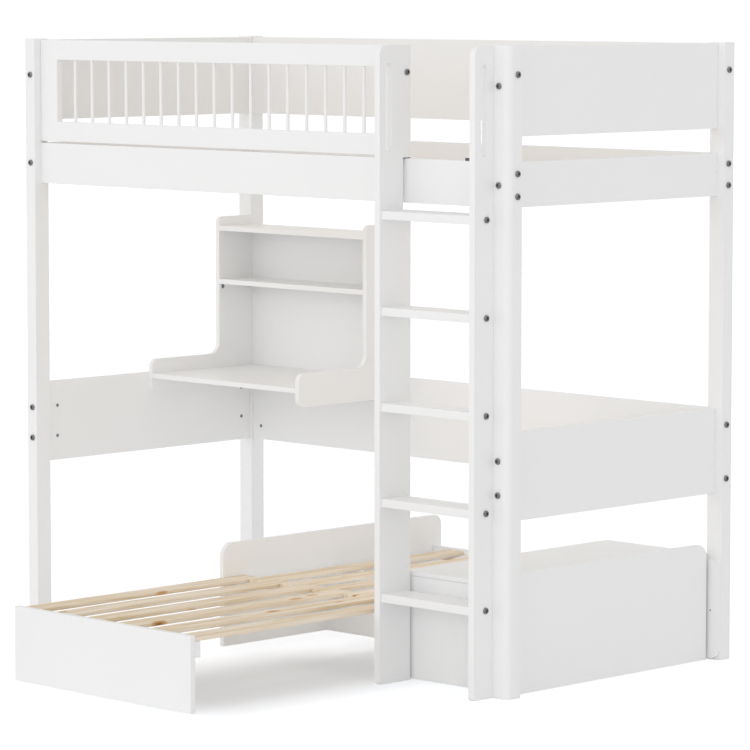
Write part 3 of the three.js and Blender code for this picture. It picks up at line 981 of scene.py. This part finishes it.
@dataclass
class StorageBox:
    """Box walls, lid, hinge, end panel and filler plate."""

    finishes: Finishes
    fittings: Fittings
    panel_edge: Easing = Easing(1.2)
    lid_edge: Easing = Easing(1.6)
    leaf_edge: Easing = Easing(0.25)
    screw_offset: float = 25 * MM
    screw_height: float = 150 * MM
    hinge_screw_pitch: float = 58 * MM
    hinge_screw_inset: float = 5 * MM
    leaf_thickness: float = 1.5 * MM

    def dress(self) -> None:
        """Give the box its edges and finishes."""
        for name in ("box_front", "box_back"):
            soften(name, self.panel_edge, self.finishes.fibreboard[Axis.X])
        for name in ("box_side", "box_floor", "box_end_panel"):
            soften(name, self.panel_edge, self.finishes.fibreboard[Axis.Y])
        soften("box_lid", self.lid_edge, self.finishes.fibreboard[Axis.Y])
        soften("box_filler_plate", self.panel_edge, self.finishes.fibreboard[Axis.Z])
        for name in ("box_hinge_fixed_leaf", "box_hinge_lid_leaf"):
            soften(name, self.leaf_edge, self.finishes.hinge)

    def screw(self) -> None:
        """Put the filler plate's screw and the hinge's screws in place."""
        low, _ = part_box("box_filler_plate")
        place = Vector((low.x + self.screw_offset, low.y, self.screw_height))
        self.fittings.place(SLAT_SCREW, place, -Axis.Y.value)
        for name, body in (("box_hinge_fixed_leaf", BED), ("box_hinge_lid_leaf", LID)):
            low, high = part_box(name)
            inset = self.hinge_screw_inset
            height = low.z + inset if body == BED else high.z - inset
            count = int((high.x - low.x) / self.hinge_screw_pitch)
            for index in range(count):
                x = low.x + (index + 0.5) * (high.x - low.x) / count
                place = Vector((x, low.y + self.leaf_thickness, height))
                self.fittings.place(SLAT_SCREW, place, Axis.Y.value, body)


def sofa_slats() -> list[str]:
    """Names of the sofa base's slats."""
    return sorted(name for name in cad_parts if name.startswith("sofa") and "_slat_" in name)


def middle_y(box: tuple[Vector, Vector]) -> float:
    """Middle of a box along Y, in metres."""
    low, high = box
    return (low.y + high.y) / 2


@dataclass
class SofaBase:
    """Fixed half and pull-out half of the sofa base, with the screws of their slats."""

    finishes: Finishes
    fittings: Fittings
    board_edge: Easing = Easing(1.5)
    slat_edge: Easing = Easing(2.2, Axis.Y, ends=0.3)
    screw_spread: float = 16 * MM
    end_screw_setback: float = 15 * MM

    def dress(self) -> None:
        """Give the sofa base its edges and finishes."""
        soften("sofa_side", self.board_edge, self.finishes.fibreboard[Axis.Y])
        for name in ("sofa_back_board", "sofa_mid_board", "sofa_fascia"):
            soften(name, self.board_edge, self.finishes.fibreboard[Axis.X])
        for name in ("sofa_front_bar", "sofa_rear_cleat", "sofa_fascia_cleat"):
            soften(name, self.board_edge, self.finishes.solid[Axis.X])
        for name in sofa_slats():
            soften(name, self.slat_edge, self.finishes.pine[Axis.Y])

    def screw(self) -> None:
        """Put two screws at both ends of every slat."""
        slat_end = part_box("sofa_sliding_slat_1")[1].y - self.end_screw_setback
        fixed_rows = (middle_y(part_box("sofa_front_bar")), middle_y(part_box("sofa_rear_cleat")))
        sliding_rows = (middle_y(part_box("sofa_fascia_cleat")), slat_end)
        self._rows("sofa_fixed_slat", fixed_rows, BED)
        self._rows("sofa_sliding_slat", sliding_rows, PULL_OUT)

    def _rows(self, prefix: str, lines: Iterable[float], body: str) -> None:
        """Screw every slat of a kind along lines across the slats."""
        steel = self.finishes.hinge
        for name in (slat for slat in sofa_slats() if slat.startswith(prefix)):
            low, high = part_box(name)
            middle = (low.x + high.x) / 2
            for y in lines:
                for side in (-1, 1):
                    place = Vector((middle + side * self.screw_spread, y, high.z))
                    self.fittings.place(SLAT_SCREW, place, Axis.Z.value, body, steel)


@dataclass(frozen=True)
class SoftLight:
    """A very soft light from far away.

    Its strength is that of a sun lamp, its spread the angle of its disc, and comes_from points
    from the bed to it.
    """

    name: str
    strength: float
    spread_deg: float
    comes_from: Vector = field(compare=False)

    def place(self) -> bpy.types.Object:
        """Add the light to the scene, and return it."""
        data = bpy.data.lights.new(self.name, "SUN")
        data.energy = self.strength
        data.angle = math.radians(self.spread_deg)
        obj = bpy.data.objects.new(self.name, data)
        obj.matrix_world = facing(self.comes_from * SUN_DISTANCE, self.comes_from)
        bpy.context.scene.collection.objects.link(obj)
        return obj


@dataclass(frozen=True)
class FillPanel:
    """A flat lamp that brightens a shaded part. The camera doesn't see it."""

    name: str
    power: float
    size: tuple[float, float]
    centre: Vector = field(compare=False)
    looks: Vector = field(compare=False)

    def place(self) -> None:
        """Add the panel to the scene."""
        data = bpy.data.lights.new(self.name, "AREA")
        data.shape = "RECTANGLE"
        data.size, data.size_y = self.size
        data.energy = self.power
        obj = bpy.data.objects.new(self.name, data)
        obj.matrix_world = facing(self.centre, -self.looks)
        obj.visible_camera = False
        bpy.context.scene.collection.objects.link(obj)


def white_glow(
    tree: bpy.types.NodeTree, strength: float, kind: str = "ShaderNodeBackground"
) -> bpy.types.NodeSocket:
    """Add a white glow.

    Args:
        tree: the node tree.
        strength: how bright it is.
        kind: the node's type name, for the world's background or for a surface.

    Returns:
        The glow's socket.
    """
    return add_node(tree, kind, {"Color": linear("#FFFFFF"), "Strength": strength}).outputs[0]


@dataclass
class Studio:
    """White studio: camera at the photograph's place, soft light and a pale floor."""

    eye: tuple[float, float, float] = (8.512, -8.15625, 2.013)
    look_down_deg: float = 5.0
    look_left_deg: float = 45.0
    sensor_mm: float = 36.0
    frame_px: float = 750.0
    focal_px: float = 3921.0
    axis_px: tuple[float, float] = (363.5, 329.4)
    clip_end: float = 200.0
    sky_level: float = 0.754
    floor_half: float = 60.0
    floor_paint: str = "#FAFAFA"
    floor_glow: float = 0.053
    floor_shown: tuple[float, float, float, float] = (0.52, 0.528, 0.541, 1.0)
    floor_lamp: SoftLight = SoftLight("floor_lamp", 3.62, 80.0, Axis.Z.value)
    shading_slats_from_x: float = 0.06
    lights: tuple[SoftLight, ...] = (
        SoftLight("room_side_key", 0.283, 40.0, Vector((0.0, -1.0, 0.3))),
        SoftLight("right_front_fill", 0.227, 24.0, Vector((0.72, -0.69, 0.1))),
        SoftLight("left_front_fill", 0.155, 40.0, Vector((-0.8, -1.0, 0.4))),
    )
    panels: tuple[FillPanel, ...] = (
        FillPanel("under_bed_fill", 0.98, (1.9, 0.8), Vector((0.0, 0.37, 1.375)), -Axis.Z.value),
        FillPanel("sofa_fill", 0.42, (0.85, 0.3), Vector((0.585, 0.37, 0.38)), -Axis.X.value),
        FillPanel("sofa_side_fill", 0.16, (0.85, 0.14), Vector((0.2, 0.4, 0.11)), -Axis.X.value),
        FillPanel("box_foot_fill", 0.5, (0.36, 0.8), Vector((0.8, 0.378, 0.018)), -Axis.Z.value),
    )

    def camera(self) -> None:
        """Create the camera."""
        data = bpy.data.cameras.new("camera")
        data.sensor_width = self.sensor_mm
        data.lens = self.sensor_mm * self.focal_px / self.frame_px
        middle = self.frame_px / 2
        data.shift_x = (middle - self.axis_px[0]) / self.frame_px
        data.shift_y = (self.axis_px[1] - middle) / self.frame_px
        data.clip_end = self.clip_end
        obj = bpy.data.objects.new("camera", data)
        obj.location = self.eye
        tilt = math.radians(90.0 - self.look_down_deg)
        obj.rotation_euler = (tilt, 0.0, math.radians(self.look_left_deg))
        bpy.context.scene.collection.objects.link(obj)
        bpy.context.scene.camera = obj

    @staticmethod
    def _seen_directly(tree: bpy.types.NodeTree) -> bpy.types.NodeSocket:
        """Socket that is 1 for rays from the camera, or by way of gloss or glass."""
        path = add_node(tree, "ShaderNodeLightPath").outputs
        seen = calculate(tree, "MAXIMUM", path["Is Camera Ray"], path["Is Glossy Ray"])
        return calculate(tree, "MAXIMUM", seen, path["Is Transmission Ray"])

    def world(self) -> None:
        """Light the scene evenly, and show white where nothing stands."""
        world = bpy.data.worlds.new("studio")
        world.use_nodes = True
        tree = world.node_tree
        tree.nodes.clear()
        sky, white = white_glow(tree, self.sky_level), white_glow(tree, 1.0)
        links = {0: self._seen_directly(tree), 1: sky, 2: white}
        mix = add_node(tree, "ShaderNodeMixShader", links=links)
        add_node(tree, "ShaderNodeOutputWorld", links={"Surface": mix.outputs["Shader"]})
        bpy.context.scene.world = world

    def floor(self) -> None:
        """Lay the pale floor, which keeps the bed's shadow and fades to white."""
        half = self.floor_half
        shape = bmesh.new()
        corners = ((-half, -half), (half, -half), (half, half), (-half, half))
        shape.faces.new([shape.verts.new((x, y, 0.0)) for x, y in corners])
        mesh = bpy.data.meshes.new("studio_floor")
        shape.to_mesh(mesh)
        shape.free()
        obj = bpy.data.objects.new("studio_floor", mesh)
        bpy.context.scene.collection.objects.link(obj)
        material, tree = fresh_material("painted_floor_matt")
        # White where it throws light back at the bed. The camera sees it darker and cooler, so
        # that the lamp above it outshines the posts' shade and the pine's warm tint
        tint = add_node(
            tree,
            "ShaderNodeMix",
            {"data_type": "RGBA", 6: linear(self.floor_paint), 7: self.floor_shown},
            {0: self._seen_directly(tree)},
        )
        paint = add_node(
            tree, "ShaderNodeBsdfDiffuse", {"Roughness": 0.0}, {"Color": tint.outputs[2]}
        )
        glow = white_glow(tree, self.floor_glow, "ShaderNodeEmission")
        both = add_node(tree, "ShaderNodeAddShader", links={0: paint.outputs["BSDF"], 1: glow})
        add_node(tree, "ShaderNodeOutputMaterial", links={"Surface": both.outputs["Shader"]})
        mesh.materials.append(material)
        self._clear_floor(obj)

    def _clear_floor(self, floor: bpy.types.Object) -> None:
        """Light the floor alone from above, so that it ends in white outside one soft shadow.

        Args:
            floor: the only object that the lamp lights. Only the slats beside the ladder shade
                it, as in the photo, and the light doesn't bounce back to the bed.
        """
        lamp = self.floor_lamp.place()
        # Both lines are needed to keep its light from the bed
        lamp.data.cycles.max_bounces = 0
        lamp.data.cycles.use_multiple_importance_sampling = False
        lit = bpy.data.collections.new("lit_by_floor_lamp")
        lit.objects.link(floor)
        shading = bpy.data.collections.new("shading_the_floor_lamp")
        for name in sofa_slats():
            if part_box(name)[0].x > self.shading_slats_from_x:
                shading.objects.link(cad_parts[name])
        lamp.light_linking.receiver_collection = lit
        lamp.light_linking.blocker_collection = shading

    def light(self) -> None:
        """Add the soft lights of the room, and the panels that fill the shade under the bed."""
        for light in self.lights + self.panels:
            light.place()


def main() -> None:
    """Build the studio, the finishes and every sub-assembly in order."""
    logging.basicConfig(level=logging.INFO, format="%(message)s")
    bpy.context.scene.view_settings.view_transform = "Standard"
    studio = Studio()
    studio.camera()
    studio.world()
    studio.floor()
    studio.light()
    finishes = Finishes.build()
    fittings = Fittings(finishes)
    bed = BedFrame(finishes, fittings)
    ladder = Ladder(finishes, fittings)
    desk = DeskUnit(finishes, fittings)
    box = StorageBox(finishes, fittings)
    sofa = SofaBase(finishes, fittings)
    bed.dress()
    bed.bolt()
    ladder.dress()
    ladder.bolt()
    ladder.hook()
    desk.dress()
    desk.pin()
    box.dress()
    box.screw()
    sofa.dress()
    sofa.screw()
    log.info("placed %d fittings", fittings.count)


if __name__ == "__main__":
    main()
